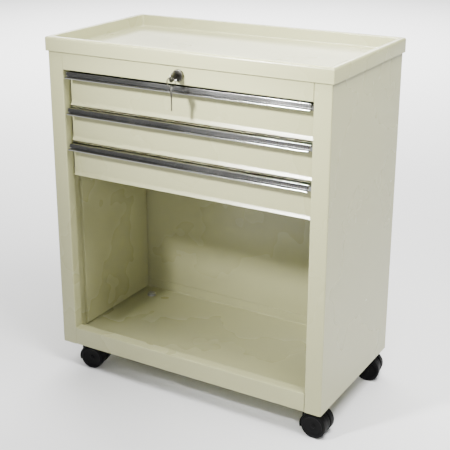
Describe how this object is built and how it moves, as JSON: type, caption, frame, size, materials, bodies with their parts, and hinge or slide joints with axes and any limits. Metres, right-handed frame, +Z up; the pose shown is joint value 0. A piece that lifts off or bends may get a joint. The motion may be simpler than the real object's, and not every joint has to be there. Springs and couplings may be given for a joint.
{
  "type": "rolling tool chest",
  "caption": "Folded steel tool chest on swivelling twin-wheel casters, with a tray top, shallow drawers on telescopic slides, a keyed cam lock and an open bay below.",
  "frame": {"origin": "on the floor under the middle of the whole outline, keys and casters included; the cabinet's own middle is 14 mm behind it", "axes": "+Z up, +X to the right as seen from the front, drawers open towards -Y"},
  "size_m": [0.6184, 0.3565, 0.709],
  "materials": {
    "cream_paint": "semi-gloss cream powder coat",
    "aluminium": "bright anodised extrusion with fine lengthwise lines",
    "zinc_steel": "zinc plated",
    "nickel": "nickel plated, bright",
    "black_nylon": "moulded black nylon, satin"
  },
  "bodies": {
    "cabinet": {"side_panel_left": "cream_paint", "side_liner_left": "cream_paint", "slide_bracket_left": "zinc_steel", "side_panel_right": "cream_paint", "side_liner_right": "cream_paint", "slide_bracket_right": "zinc_steel", "back_panel": "cream_paint", "bottom_pan": "cream_paint", "bottom_rail": "cream_paint", "top_rail": "cream_paint", "top_tray": "cream_paint", "lock_housing": "nickel", "lock_nut": "zinc_steel", "slide_1_left_outer": "zinc_steel", "slide_1_right_outer": "zinc_steel", "slide_2_left_outer": "zinc_steel", "slide_2_right_outer": "zinc_steel", "slide_3_left_outer": "zinc_steel", "slide_3_right_outer": "zinc_steel", "caster_front_left_bolt": "zinc_steel", "caster_front_right_bolt": "zinc_steel", "caster_back_left_bolt": "zinc_steel", "caster_back_right_bolt": "zinc_steel"},
    "drawer_1": {"drawer_1_front": "cream_paint", "drawer_1_box": "cream_paint", "drawer_1_handle": "aluminium", "slide_1_left_inner": "zinc_steel", "slide_1_right_inner": "zinc_steel"},
    "drawer_1_middle_members": {"slide_1_left_middle": "zinc_steel", "slide_1_right_middle": "zinc_steel"},
    "drawer_2": {"drawer_2_front": "cream_paint", "drawer_2_box": "cream_paint", "drawer_2_handle": "aluminium", "slide_2_left_inner": "zinc_steel", "slide_2_right_inner": "zinc_steel"},
    "drawer_2_middle_members": {"slide_2_left_middle": "zinc_steel", "slide_2_right_middle": "zinc_steel"},
    "drawer_3": {"drawer_3_front": "cream_paint", "drawer_3_box": "cream_paint", "drawer_3_handle": "aluminium", "slide_3_left_inner": "zinc_steel", "slide_3_right_inner": "zinc_steel"},
    "drawer_3_middle_members": {"slide_3_left_middle": "zinc_steel", "slide_3_right_middle": "zinc_steel"},
    "lock": {"lock_plug": "nickel", "lock_cam": "zinc_steel", "key_in_lock": "nickel"},
    "ring": {"key_ring": "nickel"},
    "caster_front_left": {"caster_front_left_hood": "black_nylon"},
    "caster_front_left_wheel_a": {"caster_front_left_wheel_a": "black_nylon"},
    "caster_front_left_wheel_b": {"caster_front_left_wheel_b": "black_nylon"},
    "caster_front_right": {"caster_front_right_hood": "black_nylon"},
    "caster_front_right_wheel_a": {"caster_front_right_wheel_a": "black_nylon"},
    "caster_front_right_wheel_b": {"caster_front_right_wheel_b": "black_nylon"},
    "caster_back_left": {"caster_back_left_hood": "black_nylon"},
    "caster_back_left_wheel_a": {"caster_back_left_wheel_a": "black_nylon"},
    "caster_back_left_wheel_b": {"caster_back_left_wheel_b": "black_nylon"},
    "caster_back_right": {"caster_back_right_hood": "black_nylon"},
    "caster_back_right_wheel_a": {"caster_back_right_wheel_a": "black_nylon"},
    "caster_back_right_wheel_b": {"caster_back_right_wheel_b": "black_nylon"}
  },
  "joints": [
    {"name": "drawer_1_slide", "type": "slide", "parent": "cabinet", "child": "drawer_1", "axis": [0, -1, 0], "range_m": [0, 0.25]},
    {"name": "drawer_1_middle_slide", "type": "slide", "parent": "cabinet", "child": "drawer_1_middle_members", "axis": [0, -1, 0], "range_m": [0, 0.125]},
    {"name": "drawer_2_slide", "type": "slide", "parent": "cabinet", "child": "drawer_2", "axis": [0, -1, 0], "range_m": [0, 0.25]},
    {"name": "drawer_2_middle_slide", "type": "slide", "parent": "cabinet", "child": "drawer_2_middle_members", "axis": [0, -1, 0], "range_m": [0, 0.125]},
    {"name": "drawer_3_slide", "type": "slide", "parent": "cabinet", "child": "drawer_3", "axis": [0, -1, 0], "range_m": [0, 0.25]},
    {"name": "drawer_3_middle_slide", "type": "slide", "parent": "cabinet", "child": "drawer_3_middle_members", "axis": [0, -1, 0], "range_m": [0, 0.125]},
    {"name": "lock_turn", "type": "hinge", "parent": "cabinet", "child": "lock", "pos_m": [0, -0.147, 0.66375], "axis": [0, 1, 0], "range_deg": [0, 90]},
    {"name": "ring_swing", "type": "hinge", "parent": "lock", "child": "ring", "pos_m": [0, -0.172, 0.66375], "axis": [-1, 0, 0], "range_deg": [-8, 45]},
    {"name": "caster_front_left_swivel", "type": "hinge", "parent": "cabinet", "child": "caster_front_left", "pos_m": [-0.262, -0.12, 0.055], "axis": [0, 0, 1], "continuous": true},
    {"name": "caster_front_left_wheel_a_spin", "type": "hinge", "parent": "caster_front_left", "child": "caster_front_left_wheel_a", "pos_m": [-0.23984, -0.11609, 0.025], "axis": [-0.1736, 0.9848, 0], "continuous": true},
    {"name": "caster_front_left_wheel_b_spin", "type": "hinge", "parent": "caster_front_left", "child": "caster_front_left_wheel_b", "pos_m": [-0.23984, -0.11609, 0.025], "axis": [-0.1736, 0.9848, 0], "continuous": true},
    {"name": "caster_front_right_swivel", "type": "hinge", "parent": "cabinet", "child": "caster_front_right", "pos_m": [0.262, -0.12, 0.055], "axis": [0, 0, 1], "continuous": true},
    {"name": "caster_front_right_wheel_a_spin", "type": "hinge", "parent": "caster_front_right", "child": "caster_front_right_wheel_a", "pos_m": [0.2845, -0.12, 0.025], "axis": [0, 1, 0], "continuous": true},
    {"name": "caster_front_right_wheel_b_spin", "type": "hinge", "parent": "caster_front_right", "child": "caster_front_right_wheel_b", "pos_m": [0.2845, -0.12, 0.025], "axis": [0, 1, 0], "continuous": true},
    {"name": "caster_back_left_swivel", "type": "hinge", "parent": "cabinet", "child": "caster_back_left", "pos_m": [-0.262, 0.13, 0.055], "axis": [0, 0, 1], "continuous": true},
    {"name": "caster_back_left_wheel_a_spin", "type": "hinge", "parent": "caster_back_left", "child": "caster_back_left_wheel_a", "pos_m": [-0.2406, 0.13695, 0.025], "axis": [-0.309, 0.9511, 0], "continuous": true},
    {"name": "caster_back_left_wheel_b_spin", "type": "hinge", "parent": "caster_back_left", "child": "caster_back_left_wheel_b", "pos_m": [-0.2406, 0.13695, 0.025], "axis": [-0.309, 0.9511, 0], "continuous": true},
    {"name": "caster_back_right_swivel", "type": "hinge", "parent": "cabinet", "child": "caster_back_right", "pos_m": [0.262, 0.13, 0.055], "axis": [0, 0, 1], "continuous": true},
    {"name": "caster_back_right_wheel_a_spin", "type": "hinge", "parent": "caster_back_right", "child": "caster_back_right_wheel_a", "pos_m": [0.28416, 0.13391, 0.025], "axis": [-0.1736, 0.9848, 0], "continuous": true},
    {"name": "caster_back_right_wheel_b_spin", "type": "hinge", "parent": "caster_back_right", "child": "caster_back_right_wheel_b", "pos_m": [0.28416, 0.13391, 0.025], "axis": [-0.1736, 0.9848, 0], "continuous": true}
  ],
  "couplings": [
    {"joint": "drawer_1_middle_slide", "follows": "drawer_1_slide", "ratio": 0.5},
    {"joint": "drawer_2_middle_slide", "follows": "drawer_2_slide", "ratio": 0.5},
    {"joint": "drawer_3_middle_slide", "follows": "drawer_3_slide", "ratio": 0.5}
  ]
}
